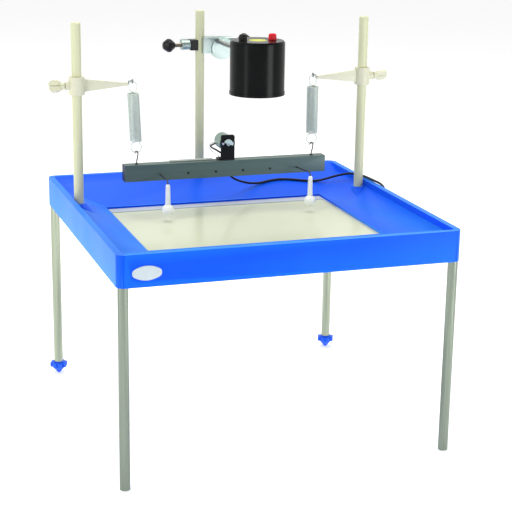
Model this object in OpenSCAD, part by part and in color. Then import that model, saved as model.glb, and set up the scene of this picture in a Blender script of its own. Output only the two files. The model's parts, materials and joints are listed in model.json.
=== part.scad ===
// Classroom ripple tank: a moulded blue basin with a glass window stands on four
// steel legs.  A vibrating beam with two dippers hangs from two springs, and a lamp
// above throws the shadows of the ripples through the window onto the bench.
// Origin: centre of the basin at the level of the bench.  +Z up, front towards -Y.

/* [Basin] */
// Outside width of the basin, left to right
tray_w = 540; // [520:5:640]
// Outside depth of the basin, front to back
tray_d = 540; // [520:5:640]
// Height of the basin wall
tray_h = 49; // [46:1:56]
// Bench to the underside of the basin
leg_h = 315; // [240:5:420]
// Width of the flat rim
rim_w = 10; // [9:0.5:12]
// Drop from the rim to the outer edge of the side slopes
rim_drop = 10; // [6:1:12]
// Drop from the rim to the lip round the window
lip_drop = 32; // [28:1:32]
// Thickness of the moulding
wall = 3; // [2.5:0.25:3.5]
// Radius of the vertical corners
corner_r = 8; // [6:1:9]

/* [Window] */
// Clear width of the window
window_w = 386; // [340:2:400]
// Clear depth of the window
window_d = 284; // [240:2:300]
// Flat ledge in front of and behind the window
ledge_w = 8; // [4:1:12]
// Thickness of the glass
pane_t = 4; // [3:0.5:5]
// How far the glass runs under the lip
pane_lap = 12; // [9:1:14]
// Thickness of the seal
seal_t = 1; // [0.6:0.1:1.4]
// How far the seal shows inside the window
seal_proud = 2; // [1:0.5:3]
// Width of the retaining frame
frame_w = 26; // [24:1:30]

/* [Legs] */
// Diameter of the leg tubes
leg_d = 16; // [14:0.5:17]
// Wall of the leg tubes
leg_wall = 1.2; // [1:0.1:1.6]
// Distance from the outside of the basin to the leg axis
leg_inset = 10; // [10:0.5:11]
// Depth of the leg sockets
leg_socket = 35; // [25:1:38]
// Height of the levelling feet under the rear legs
foot_h = 22; // [20:1:28]
// Diameter over the lobes of a levelling foot
foot_d = 31; // [24:1:32]
// Diameter of the foot screw
foot_screw_d = 8; // [6:1:10]

/* [Rods] */
// Diameter of the upright rods
rod_d = 16; // [14:0.5:17]
// Height of the rod tops above the rim
rod_rise = 286; // [270:2:320]
// Distance from the outside of the basin to a side rod axis
side_rod_inset = 21; // [20:1:26]
// Side rods behind the centre line
side_rod_y = 98; // [80:2:110]
// Distance from the back of the basin to the rear rod axis
back_rod_inset = 27; // [24:1:30]
// Wall of the sockets round the rods
socket_wall = 4; // [3.5:0.5:5]
// Depth of the rod sockets
rod_socket = 30; // [22:1:32]

/* [Arms] */
// Height of the arms above the rim
arm_rise = 184.5; // [160:0.5:200]
// Height of an arm collar
collar_h = 29; // [24:1:34]
// Outside diameter of an arm collar
collar_d = 26; // [24:1:30]
// Height of an arm where it leaves the collar
arm_root_h = 20; // [16:1:22]
// Height of an arm at its tip
arm_tip_h = 5; // [4:0.5:7]
// Thickness of an arm
arm_t = 7; // [5:0.5:9]
// Distance from the rod axis to the arm tip
arm_reach = 83.5; // [80:0.5:86]
// Diameter of the wing screw
wing_screw_d = 6; // [5:0.5:8]
// Width over the wings
wing_w = 20; // [16:1:24]

/* [Beam] */
// Length of the beam
beam_l = 354; // [340:2:364]
// Height of the beam
beam_h = 28; // [26:1:32]
// Depth of the beam
beam_t = 20; // [18:1:22]
// Wall of the beam
beam_wall = 2; // [1.5:0.5:2.5]
// Underside of the beam above the rim
beam_rise = 22; // [20:1:30]
// Middle of the beam to the right of the centre line
beam_x = 4; // [0:0.5:6]
// Distance between the two hanging eyes on the beam
hook_span = 310; // [300:1:314]
// Distance between the dipper holes
hole_pitch = 48.3; // [40:0.1:50]
// Diameter of the dipper holes
hole_d = 2.5; // [2.2:0.1:3]
// Dipper holes above the underside of the beam
hole_rise = 10; // [8:0.5:14]

/* [Dippers] */
// Reach of the dipper wire in front of the beam
dipper_reach = 48; // [40:1:56]
// Drop from the wire to the middle of the ball
dipper_drop = 49; // [46:0.5:50]
// Diameter of the ball
ball_d = 19.5; // [16:0.5:20]
// Diameter of the stem at the wire
stem_top_d = 6.5; // [5:0.5:8]
// Diameter of the stem at the ball
stem_low_d = 9; // [8:0.5:10]
// Outward turn of the right dipper wire in degrees
right_splay = 10; // [0:1:12]

/* [Springs] */
// Outside diameter of a spring
spring_d = 19.6; // [16:0.2:20]
// Radius of the loops at the ends of a spring
loop_r = 6.4; // [5.6:0.2:7]
// Diameter of the spring wire
spring_wire = 1.6; // [1.2:0.1:1.8]
// Number of turns in a spring
spring_turns = 20; // [14:1:24]

/* [Motor] */
// Diameter of the motor
motor_d = 27.4; // [24:0.2:28]
// Length of the motor
motor_l = 32; // [26:1:36]
// Middle of the motor above the beam
motor_rise = 28; // [24:1:32]
// Width of the motor bracket
bracket_w = 24; // [22:1:28]
// Height of the motor bracket
bracket_h = 43; // [40:1:48]
// Thickness of the bracket sheet
bracket_t = 3; // [2:0.5:4]
// Radius of the half disc weight
weight_r = 7.8; // [6:0.2:9]
// Thickness of the half disc weight
weight_t = 4; // [3:0.5:5]

/* [Lamp] */
// Diameter of the lamp housing
lamp_d = 89; // [80:1:94]
// Height of the lamp housing
lamp_h = 87; // [80:1:96]
// Underside of the lamp above the rim
lamp_rise = 174; // [160:2:190]
// Lamp axis to the right of the centre line
lamp_x = 30; // [26:1:34]
// Lamp axis behind the centre line
lamp_y = 14; // [0:1:20]
// Diameter of the lamp rod
lamp_rod_d = 8; // [7:0.5:9]
// Lamp rod above the underside of the lamp
lamp_rod_rise = 59; // [50:1:62]
// Length of the lamp rod
lamp_rod_l = 212; // [200:1:216]
// Bore of the terminals
terminal_bore = 4; // [3.8:0.1:4.2]
// Diameter of the terminal caps
terminal_d = 14; // [12:0.5:16]

/* [Clamp head] */
// Diameter of the clamp screws
clamp_screw_d = 7; // [6:0.5:8]
// Diameter of the clamp knobs
knob_d = 24; // [20:1:26]

/* [Lead] */
// Diameter of the lead
cord_d = 4; // [3.5:0.1:4.2]
// Turns of the put-away coil
coil_turns = 6; // [4:2:8]
// Radius at the middle of the coil's turns
coil_r = 22; // [20:1:24]

/* [Hidden] */

$fn = 64;
fit = 0.05;            // radial clearance of anything that turns or slides
gap = 0.3;             // clearance between neighbours that only lie close
overrun = 1;           // how far a cut runs past the face that it opens

rim_z = leg_h + tray_h;
in_x = tray_w / 2 - rim_w;
in_y = tray_d / 2 - rim_w;
lip_z = rim_z - lip_drop;
shelf_z = rim_z - rim_drop;
win_x = window_w / 2;
win_y = window_d / 2;
side_slope = (shelf_z - lip_z) / (in_x - win_x);
end_slope = (rim_z - lip_z) / (in_y - win_y - ledge_w);
lip_low = lip_z - wall;
pane_z = lip_low - seal_t - pane_t;

leg_x = tray_w / 2 - leg_inset;
leg_y = tray_d / 2 - leg_inset;
leg_top = leg_h + leg_socket;
leg_corners = [[-leg_x, -leg_y], [leg_x, -leg_y], [-leg_x, leg_y], [leg_x, leg_y]];
plug_lip = 1.5;

side_rod_x = tray_w / 2 - side_rod_inset;
back_rod_y = tray_d / 2 - back_rod_inset;
rod_top = rim_z + rod_rise;
rod_bevel = 1.5;
side_boss_z = shelf_z;
back_boss_z = rim_z - 4;
side_rod_low = side_boss_z - rod_socket;
back_rod_low = back_boss_z - rod_socket;

arm_z = rim_z + arm_rise;
arm_tip_x = side_rod_x - arm_reach;
eye_r = 3;             // middle of the wire of a hanging eye
eye_wire = 2;
spring_r = spring_d / 2 - spring_wire / 2;
ring_rest = eye_r - eye_wire / 2 - spring_wire / 2 - gap - 0.05;
arm_eye_x = arm_tip_x - loop_r - 1.6;
arm_eye_y = side_rod_y - eye_r;
arm_eye_z = arm_z + 4.6;
beam_z = rim_z + beam_rise;
beam_top = beam_z + beam_h;
beam_front = side_rod_y - beam_t / 2;
beam_back = side_rod_y + beam_t / 2;
beam_eye_shank = 16;
beam_eye_z = beam_top + beam_eye_shank + eye_r;
hole_z = beam_z + hole_rise;
hole_x = beam_x + 4;   // middle of the row of holes

dipper_y = beam_front - dipper_reach;
left_hole = hole_x - 2.5 * hole_pitch;
right_hole = hole_x + 2.5 * hole_pitch;
wire_d = hole_d - 2 * fit;
wire_bend = 4;

motor_x = beam_x + 2;
motor_z = beam_top + motor_rise;
bracket_y = beam_front + 4;
motor_y = bracket_y + bracket_t;

lamp_z = rim_z + lamp_rise;
lamp_top = lamp_z + lamp_h;
lamp_wall = 2.5;
lamp_rod_z = lamp_z + lamp_rod_rise;
lamp_rod_y = lamp_y + lamp_d / 2 - lamp_wall;
cap_t = 5;
base_t = 4;

head_z = lamp_rod_z - 7;

// ---------------------------------------------------------------- helpers
function lerp(a, b, t) = a + (b - a) * t;
function unit(v) = v / norm(v);
function side_surface(x) = shelf_z - (in_x - abs(x)) * side_slope;

module rounded_block(w, d, h, r) {
  linear_extrude(h) {
    square([w - 2 * r, d], center = true);
    square([w, d - 2 * r], center = true);
    for (sx = [-1, 1], sy = [-1, 1])
      translate([sx * (w / 2 - r), sy * (d / 2 - r)]) circle(r);
  }
}

module ring_plate(w, d, hole_w, hole_d, h, r) {
  difference() {
    rounded_block(w, d, h, r);
    translate([-hole_w / 2, -hole_d / 2, -overrun]) cube([hole_w, hole_d, h + 2 * overrun]);
  }
}

// a cylinder that starts at p and runs along the axis named
module along_x(p, d, l) { translate(p) rotate([0, 90, 0]) cylinder(d = d, h = l); }
module along_y(p, d, l) { translate(p) rotate([-90, 0, 0]) cylinder(d = d, h = l); }

// torus whose axis lies along X
module eye_ring(p, r, wire) {
  translate(p) rotate([0, 90, 0]) rotate_extrude() translate([r, 0]) circle(d = wire, $fn = 24);
}

// Tube with flat ends through the points of a path.  Each ring is carried over from the
// one before it, so the tube doesn't twist.
function turn_side(side, dir) = unit(side - dir * (side * dir));
function path_dirs(p) = [for (i = [0 : len(p) - 1])
  unit(p[min(i + 1, len(p) - 1)] - p[max(i - 1, 0)])];
function path_sides(dirs, first) =
  [for (i = 0, s = turn_side(first, dirs[0]); i < len(dirs);
        i = i + 1, s = i < len(dirs) ? turn_side(s, dirs[i]) : s) s];
module tube(p, r, sides, first) {
  dirs = path_dirs(p);
  across = path_sides(dirs, first);
  n = len(p);
  points = [for (i = [0 : n - 1], k = [0 : sides - 1])
    let (a = 360 * k / sides)
    p[i] + r * (cos(a) * across[i] + sin(a) * cross(dirs[i], across[i]))];
  skin = [for (i = [0 : n - 2], k = [0 : sides - 1])
    let (a = i * sides + k, b = i * sides + (k + 1) % sides)
    each [[a, a + sides, b + sides], [a, b + sides, b]]];
  ends = [for (k = [1 : sides - 2])
    each [[0, k, k + 1], [(n - 1) * sides, (n - 1) * sides + k + 1, (n - 1) * sides + k]]];
  polyhedron(points = points, faces = concat(skin, ends), convexity = 8);
}
// least distance between parts of a path that lie more than skip points apart
function least_gap(p, d, skip) =
  min([for (i = [0 : len(p) - 1 - skip]) min([for (j = [i + skip : len(p) - 1]) norm(p[i] - p[j])])]) - d;

// ---------------------------------------------------------------- basin
module basin_hollow(grow) {
  // grow moves the floor and the walls outwards by the thickness of the moulding
  top = rim_z + overrun;
  intersection() {
    translate([0, tray_d / 2, 0]) rotate([90, 0, 0]) linear_extrude(tray_d)
      polygon([[-in_x - grow, top], [-in_x - grow, shelf_z - grow], [-win_x, lip_z - grow],
               [win_x, lip_z - grow], [in_x + grow, shelf_z - grow], [in_x + grow, top]]);
    translate([-tray_w / 2, 0, 0]) rotate([90, 0, 90]) linear_extrude(tray_w)
      polygon([[-in_y - grow, top], [-in_y - grow, rim_z - grow], [-win_y - ledge_w, lip_z - grow],
               [win_y + ledge_w, lip_z - grow], [in_y + grow, rim_z - grow], [in_y + grow, top]]);
  }
}

module rod_boss(x, y, top, low) {
  translate([x, y, low]) cylinder(d = rod_d + 2 * socket_wall, h = top - low);
}

// the wedge that runs forward from the foot of a side rod
module rod_wedge(x) {
  inward = x > 0 ? -1 : 1;
  tip_x = x + inward * 16;
  hull() {
    translate([x, side_rod_y, side_boss_z - 8]) cylinder(d = rod_d + 2 * socket_wall, h = 8, $fn = 32);
    translate([tip_x, side_rod_y - 37, side_surface(tip_x) - 2]) cylinder(d = 2, h = 2, $fn = 32);
  }
}

module leg_boss(p) {
  translate([p[0], p[1], leg_h]) cylinder(d = leg_d + 8, h = tray_h - wall);
}

screw_out = 19;        // from the edge of the window to the screws of the frame
frame_screw_at = [for (s = [-1, 1])
  each [[s * (win_x + screw_out), -win_y / 2], [s * (win_x + screw_out), win_y / 2],
        [-win_x / 2, s * (win_y + screw_out)], [0, s * (win_y + screw_out)],
        [win_x / 2, s * (win_y + screw_out)]]];
frame_screw_d = 3.5;
frame_screw_head = 7;
frame_screw_bite = 4;
// the bosses run up into the slopes, which are cut back to the basin afterwards
screw_boss_h = max(frame_screw_bite + 1, side_surface(win_x + screw_out) - lip_low);

module tray() {
  under = tray_h - wall;
  color([0.06, 0.30, 0.95]) difference() {
    union() {
      difference() {
        translate([0, 0, leg_h]) rounded_block(tray_w, tray_d, tray_h, corner_r);
        // hollow underside between the outer wall and the basin
        difference() {
          translate([0, 0, leg_h - overrun])
            rounded_block(tray_w - 2 * wall, tray_d - 2 * wall, under + overrun, corner_r - wall);
          basin_hollow(wall);
        }
      }
      intersection() {
        translate([0, 0, leg_h]) rounded_block(tray_w, tray_d, tray_h, corner_r);
        union() {
          for (p = leg_corners) leg_boss(p);
          for (s = [-1, 1])
            rod_boss(s * side_rod_x, side_rod_y, side_boss_z, side_rod_low - wall);
          rod_boss(0, back_rod_y, back_boss_z, back_rod_low - wall);
          for (p = frame_screw_at)
            translate([p[0], p[1], lip_low]) cylinder(d = frame_screw_d + 6, h = screw_boss_h);
        }
      }
    }
    // the basin, with its rounded corners kept clear of the rod bosses
    difference() {
      intersection() {
        basin_hollow(0);
        translate([0, 0, lip_z - overrun])
          rounded_block(2 * in_x, 2 * in_y, lip_drop + 2 * overrun, corner_r / 2);
      }
      for (s = [-1, 1]) {
        rod_boss(s * side_rod_x, side_rod_y, side_boss_z, side_rod_low);
        rod_wedge(s * side_rod_x);
      }
      rod_boss(0, back_rod_y, back_boss_z, back_rod_low);
    }
    translate([-win_x, -win_y, lip_low - overrun]) cube([window_w, window_d, wall + 2 * overrun]);
    for (p = leg_corners)
      translate([p[0], p[1], leg_h - overrun]) cylinder(d = leg_d + 2 * fit, h = leg_socket + overrun);
    for (s = [-1, 1])
      translate([s * side_rod_x, side_rod_y, side_rod_low])
        cylinder(d = rod_d + 2 * fit, h = rim_z - side_rod_low + overrun);
    translate([0, back_rod_y, back_rod_low]) cylinder(d = rod_d + 2 * fit, h = rim_z - back_rod_low + overrun);
    for (p = frame_screw_at)
      translate([p[0], p[1], lip_low - overrun])
        cylinder(d = frame_screw_d + 2 * fit, h = frame_screw_bite + overrun);
    badge_shape(badge_sink + overrun, overrun, fit);
  }
}

badge_w = 44;
badge_h = 22;
badge_x = -tray_w / 2 + 43.5;
badge_z = leg_h + 21;
badge_sink = 1;
badge_proud = 0.5;
badge_end_r = 7;
badge_end_x = badge_w / 2 - badge_end_r;
// the two flat arcs meet the round ends without a corner
badge_off = (badge_end_x ^ 2 - (badge_h / 2 - badge_end_r) ^ 2) / (2 * (badge_h / 2 - badge_end_r));
badge_arc = badge_off + badge_h / 2;
badge_meet = badge_arc * badge_end_x / (badge_arc - badge_end_r);

// oval that is sunk into the front wall
module badge_shape(depth, proud, grow) {
  translate([badge_x, -tray_d / 2 + depth - proud, badge_z]) rotate([90, 0, 0]) {
    intersection() {
      translate([0, badge_off, 0]) cylinder(r = badge_arc + grow, h = depth, $fn = 128);
      translate([0, -badge_off, 0]) cylinder(r = badge_arc + grow, h = depth, $fn = 128);
      translate([0, 0, depth / 2]) cube([2 * badge_meet, badge_h + 2, depth + 2], center = true);
    }
    for (s = [-1, 1]) translate([s * badge_end_x, 0, 0]) cylinder(r = badge_end_r + grow, h = depth);
  }
}

module badge_plate() {
  color([0.80, 0.82, 0.84]) badge_shape(badge_sink + badge_proud, badge_proud, 0);
}

module glass_pane() {
  color([0.80, 0.90, 0.86, 0.4]) translate([0, 0, pane_z])
    rounded_block(window_w + 2 * pane_lap, window_d + 2 * pane_lap, pane_t, 3);
}

module pane_seal() {
  color([0.90, 0.92, 0.92]) translate([0, 0, pane_z + pane_t])
    ring_plate(window_w + 2 * pane_lap, window_d + 2 * pane_lap,
               window_w - 2 * seal_proud, window_d - 2 * seal_proud, seal_t, 3);
}

module pane_frame() {
  color([0.78, 0.80, 0.80]) difference() {
    translate([0, 0, leg_h])
      ring_plate(window_w + 2 * frame_w, window_d + 2 * frame_w, window_w, window_d,
                 lip_low - leg_h, 5);
    // rebate that carries the glass
    translate([0, 0, pane_z])
      rounded_block(window_w + 2 * pane_lap + 2 * gap, window_d + 2 * pane_lap + 2 * gap,
                    pane_t + seal_t + overrun, 3);
    for (p = frame_screw_at) translate([p[0], p[1], leg_h - overrun]) {
      cylinder(d = frame_screw_d + 2 * gap, h = lip_low - leg_h + 2 * overrun);
      cylinder(d = frame_screw_head + 2 * gap, h = 4 + overrun);
    }
  }
}

module frame_screws() {
  color([0.72, 0.73, 0.75]) for (p = frame_screw_at) translate([p[0], p[1], leg_h + 1.5]) {
    difference() {
      cylinder(d = frame_screw_head, h = 2.5);
      translate([0, 0, -overrun]) cylinder(d = 2.6, h = 1 + overrun, $fn = 6);
    }
    cylinder(d = frame_screw_d, h = lip_low - leg_h - 1.5 + frame_screw_bite - gap);
  }
}

// ---------------------------------------------------------------- legs and feet
module leg_tube(p, low) {
  color([0.72, 0.72, 0.70]) translate([p[0], p[1], low]) difference() {
    cylinder(d = leg_d, h = leg_top - low);
    translate([0, 0, -overrun]) cylinder(d = leg_d - 2 * leg_wall, h = leg_top - low + 2 * overrun);
  }
}

module front_left_leg() { leg_tube(leg_corners[0], plug_lip); }
module front_right_leg() { leg_tube(leg_corners[1], plug_lip); }
module rear_left_leg() { leg_tube(leg_corners[2], foot_h); }
module rear_right_leg() { leg_tube(leg_corners[3], foot_h); }

plug_l = leg_d + 2;     // how far a plug reaches into its leg
plug_bevel = plug_lip * 2 / 3;
module leg_plugs() {
  color([0.62, 0.62, 0.60]) for (p = [leg_corners[0], leg_corners[1]]) translate([p[0], p[1], 0]) {
    cylinder(d1 = leg_d - 2 * plug_bevel, d2 = leg_d, h = plug_bevel);
    translate([0, 0, plug_bevel]) cylinder(d = leg_d, h = plug_lip - plug_bevel);
    cylinder(d = leg_d - 2 * leg_wall - 2 * fit, h = plug_l);
  }
}

insert_h = 22;
module foot_inserts() {
  color([0.25, 0.25, 0.26]) for (p = [leg_corners[2], leg_corners[3]])
    translate([p[0], p[1], foot_h]) difference() {
      cylinder(d = leg_d - 2 * leg_wall - 2 * fit, h = insert_h);
      translate([0, 0, -overrun]) cylinder(d = foot_screw_d + 2 * fit, h = insert_h + 2 * overrun);
    }
}

foot_cone_h = foot_h / 2;
foot_tip_d = 5;
lobe_d = 8;
lobes = 8;
module foot(p) {
  knob_h = foot_h - foot_cone_h - gap;
  color([0.10, 0.25, 0.80]) translate([p[0], p[1], 0]) {
    cylinder(d1 = foot_tip_d, d2 = foot_d - lobe_d, h = foot_cone_h);
    translate([0, 0, foot_cone_h]) {
      cylinder(d = foot_d - lobe_d, h = knob_h - 1);
      cylinder(d = leg_d, h = knob_h);
      for (k = [0 : lobes - 1]) rotate(360 * k / lobes)
        translate([(foot_d - lobe_d) / 2, 0, 1]) cylinder(d = lobe_d, h = knob_h - 3, $fn = 32);
      cylinder(d = foot_screw_d, h = foot_h - foot_cone_h + insert_h - 2);
    }
  }
}
module left_foot() { foot(leg_corners[2]); }
module right_foot() { foot(leg_corners[3]); }

// ---------------------------------------------------------------- rods
module rod(x, y, low) {
  color([0.84, 0.84, 0.74]) translate([x, y, 0]) {
    translate([0, 0, low]) cylinder(d = rod_d, h = rod_top - rod_bevel - low);
    translate([0, 0, rod_top - rod_bevel]) cylinder(d1 = rod_d, d2 = rod_d - 2 * rod_bevel, h = rod_bevel);
  }
}
module left_rod() { rod(-side_rod_x, side_rod_y, side_rod_low); }
module right_rod() { rod(side_rod_x, side_rod_y, side_rod_low); }
module back_rod() { rod(0, back_rod_y, back_rod_low); }

// ---------------------------------------------------------------- arms
// The right arm; the left one is its mirror image.  The boss outside the collar takes
// the wing screw, and the tip takes the hanging eye.
boss_l = 6;
tip_l = 6;
module arm() {
  color([0.86, 0.86, 0.76]) difference() {
    union() {
      translate([side_rod_x, side_rod_y, arm_z - collar_h / 2]) cylinder(d = collar_d, h = collar_h);
      translate([0, side_rod_y + arm_t / 2, 0]) rotate([90, 0, 0]) linear_extrude(arm_t)
        polygon([[side_rod_x, arm_z - arm_root_h / 2], [side_rod_x, arm_z + arm_root_h / 2],
                 [side_rod_x - collar_d / 2, arm_z + arm_root_h / 2],
                 [arm_tip_x + tip_l, arm_z + arm_tip_h / 2], [arm_tip_x, arm_z + arm_tip_h / 2],
                 [arm_tip_x, arm_z - arm_tip_h / 2], [arm_tip_x + tip_l, arm_z - arm_tip_h / 2],
                 [side_rod_x - collar_d / 2, arm_z - arm_root_h / 2]]);
      along_x([side_rod_x, side_rod_y, arm_z], wing_screw_d + 8, collar_d / 2 + boss_l);
    }
    translate([side_rod_x, side_rod_y, arm_z - collar_h]) cylinder(d = rod_d + 2 * fit, h = 2 * collar_h);
    along_x([side_rod_x, side_rod_y, arm_z], wing_screw_d + 2 * fit, collar_d / 2 + boss_l + overrun);
    along_x([arm_tip_x - overrun, side_rod_y, arm_z], eye_wire + 2 * fit, tip_l + overrun);
  }
}
module right_arm() { arm(); }
module left_arm() { mirror([1, 0, 0]) arm(); }

module arm_eye() {
  // the eye stands in front of its shank, so that the loop of the spring passes the shank
  bend_x = arm_tip_x - 2.4;
  color([0.75, 0.76, 0.78]) {
    eye_ring([arm_eye_x, arm_eye_y, arm_eye_z], eye_r, eye_wire);
    along_x([arm_eye_x, side_rod_y, arm_eye_z], eye_wire, bend_x - arm_eye_x);
    for (z = [arm_z, arm_eye_z]) translate([bend_x, side_rod_y, z]) sphere(d = eye_wire, $fn = 32);
    translate([bend_x, side_rod_y, arm_z]) cylinder(d = eye_wire, h = arm_eye_z - arm_z);
    along_x([bend_x, side_rod_y, arm_z], eye_wire, arm_tip_x + tip_l - bend_x - gap);
  }
}
module right_arm_eye() { arm_eye(); }
module left_arm_eye() { mirror([1, 0, 0]) arm_eye(); }

wing_t = 5;
wing_slot = 0.6;       // half of the slot between the two wings
module wing_screw(turn) {
  head_x = side_rod_x + collar_d / 2 + boss_l + 2;
  color([0.86, 0.86, 0.76]) {
    along_x([side_rod_x + rod_d / 2 + gap, side_rod_y, arm_z], wing_screw_d,
            head_x - side_rod_x - rod_d / 2);
    along_x([head_x, side_rod_y, arm_z], wing_screw_d + 6, 6);
    for (s = [-1, 1]) translate([head_x + 2, side_rod_y, arm_z]) rotate([turn + 90, 0, 0])
      translate([0, 0, -wing_t / 2]) linear_extrude(wing_t)
        polygon([[0, s * wing_slot], [0, s * 4], [4, s * (wing_w / 2 - 2)], [8, s * wing_w / 2],
                 [17, s * wing_w / 2], [21, s * (wing_w / 2 - 2)], [23, s * (wing_w / 2 - 5)],
                 [22, s * 2 * wing_slot], [18, s * wing_slot]]);
  }
}
module right_wing_screw() { wing_screw(40); }
module left_wing_screw() { mirror([1, 0, 0]) wing_screw(-35); }

// ---------------------------------------------------------------- springs
// One wire: an open loop, a lead down to the coil, the turns, and the same again below.
// The path is worked out upright and then sheared, so that it hangs between an eye on
// the arm and an eye on the beam that are not quite above each other.
loop_straight = 4;     // straight part in the sides of a loop
loop_open = 55;        // angle at which a loop ends
loop_step = 30;
coil_ring = 8;         // points in a turn of a spring
coil_clear = 0.5;      // clear height between a loop and the coil
loop_high = arm_eye_z - ring_rest;
loop_low = beam_eye_z + ring_rest;
loop_span = 2 * loop_r + loop_straight;
spring_high = loop_high - loop_span - spring_wire - coil_clear;
spring_low = loop_low + loop_span + spring_wire + coil_clear;

// the upper half of the wire without the turns, from the free end to the coil
function spring_end() =
  let (high = loop_span - loop_r, low = loop_r, half = 180 / coil_ring, drop = spring_wire + coil_clear)
  concat(
    [for (a = [-loop_open : -(180 - loop_open) / 4 : -180]) [loop_r * cos(a), 0, low + loop_r * sin(a)]],
    [for (a = [-180 : -loop_step : -360]) [loop_r * cos(a), 0, high + loop_r * sin(a)]],
    [[loop_r, 0, low + 1], [loop_r + 0.1, 0.2, low - 2], [loop_r + 0.6, 1, -drop / 2 + 1.6],
     [spring_r * cos(half) - 0.3, spring_r * sin(half) - 1.2, -drop + 0.5]]);
function spring_path() =
  let (end = spring_end(), turn = spring_turns * coil_ring - 1, drop = spring_wire + coil_clear)
  concat(
    [for (q = end) [q[0], q[1], q[2] + loop_high - loop_span]],
    [for (k = [0 : turn]) let (a = 360 * (k + 0.5) / coil_ring)
      [spring_r * cos(a), spring_r * sin(a), lerp(spring_high, spring_low, k / turn)]],
    [for (k = [len(end) - 1 : -1 : 0]) let (q = end[k])
      [q[0], -q[1], loop_low + loop_span - q[2]]]);

function hang(p, top, low) = [for (q = p)
  let (t = (q[2] - loop_low) / (loop_high - loop_low))
  [q[0] + lerp(low[0], top[0], t), q[1] + lerp(low[1], top[1], t), q[2]]];

left_path = hang(spring_path(), [-arm_eye_x, arm_eye_y], [beam_x - hook_span / 2, side_rod_y]);
right_path = hang(spring_path(), [arm_eye_x, arm_eye_y], [beam_x + hook_span / 2, side_rod_y]);
echo(left_spring_gap_mm = least_gap(left_path, spring_wire, 6));
echo(right_spring_gap_mm = least_gap(right_path, spring_wire, 6));

module left_spring() { color([0.78, 0.79, 0.80]) tube(left_path, spring_wire / 2, 6, [0, 1, 0]); }
module right_spring() { color([0.78, 0.79, 0.80]) tube(right_path, spring_wire / 2, 6, [0, 1, 0]); }

// ---------------------------------------------------------------- beam
module beam() {
  inner_t = beam_t - 2 * beam_wall;
  inner_h = beam_h - 2 * beam_wall;
  color([0.33, 0.38, 0.38]) difference() {
    translate([beam_x - beam_l / 2, beam_front, beam_z]) cube([beam_l, beam_t, beam_h]);
    translate([beam_x - beam_l / 2 - overrun, beam_front + beam_wall, beam_z + beam_wall])
      cube([beam_l + 2 * overrun, inner_t, inner_h]);
    for (k = [-2.5 : 1 : 2.5])
      along_y([hole_x + k * hole_pitch, beam_front - overrun, hole_z], hole_d, beam_wall + 2 * overrun);
    for (s = [-1, 1])
      translate([beam_x + s * hook_span / 2, side_rod_y, beam_top - beam_wall - overrun])
        cylinder(d = eye_wire + 2 * fit, h = beam_wall + 2 * overrun);
    for (x = bracket_screw_x)
      translate([x, bracket_screw_y, beam_top - beam_wall - overrun])
        cylinder(d = bracket_screw_d + 2 * fit, h = beam_wall + 2 * overrun);
    along_y([gland_x, beam_back - beam_wall - overrun, gland_z], gland_d, beam_wall + 2 * overrun);
  }
}

end_plug_l = 8;
module beam_ends() {
  color([0.07, 0.08, 0.08]) for (s = [-1, 1])
    translate([beam_x + s * (beam_l / 2 - end_plug_l / 2 - gap), side_rod_y, beam_z + beam_h / 2])
      cube([end_plug_l, beam_t - 2 * beam_wall - 2 * fit, beam_h - 2 * beam_wall - 2 * fit], center = true);
}

module beam_eyes() {
  color([0.75, 0.76, 0.78]) for (s = [-1, 1]) {
    x = beam_x + s * hook_span / 2;
    eye_ring([x, side_rod_y, beam_eye_z], eye_r, eye_wire);
    translate([x, side_rod_y, beam_top - beam_wall - 3])
      cylinder(d = eye_wire, h = beam_eye_z - eye_r - beam_top + beam_wall + 3);
    translate([x, side_rod_y, beam_top]) cylinder(d = 5, h = 2, $fn = 32);
    translate([x, side_rod_y, beam_top - beam_wall - 2]) cylinder(d = 5, h = 2, $fn = 32);
  }
}

strip_l = 74;
strip_w = 10;
strip_t = 2;
module cable_strip() {
  color([0.62, 0.66, 0.66])
    translate([motor_x - 24 - strip_l, beam_back - strip_w, beam_top]) cube([strip_l, strip_w, strip_t]);
}

// ---------------------------------------------------------------- motor
bracket_screw_d = 3;
bracket_screw_x = [motor_x - 7, motor_x + 7];
bracket_screw_y = bracket_y + bracket_t + 7;
foot_l = 16;
motor_nose_d = 7;
motor_nose_l = 1.5;
shaft_d = 2;
weight_gap = 0.8;
// screws that hold the motor, sunk flush because the weight passes in front of them
face_screw_x = 8.5;
face_screw_d = 2.6;
face_screw_head = 4.4;
face_screw_sink = 1.4;
face_screw_bite = 3;

module motor_bracket() {
  color([0.08, 0.09, 0.09]) difference() {
    union() {
      translate([motor_x - bracket_w / 2, bracket_y, beam_top]) cube([bracket_w, bracket_t, bracket_h]);
      translate([motor_x - bracket_w / 2 - 4, bracket_y, beam_top])
        cube([bracket_w + 4, foot_l, bracket_t]);
    }
    along_y([motor_x, bracket_y - overrun, motor_z], motor_nose_d + 2 * fit, bracket_t + 2 * overrun);
    for (s = [-1, 1]) {
      along_y([motor_x + s * face_screw_x, bracket_y - overrun, motor_z], face_screw_d + 2 * fit,
              bracket_t + 2 * overrun);
      along_y([motor_x + s * face_screw_x, bracket_y - overrun, motor_z], face_screw_head + 2 * fit,
              face_screw_sink + overrun);
    }
    for (x = bracket_screw_x)
      translate([x, bracket_screw_y, beam_top - overrun])
        cylinder(d = bracket_screw_d + 2 * fit, h = bracket_t + 2 * overrun);
  }
}

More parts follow.
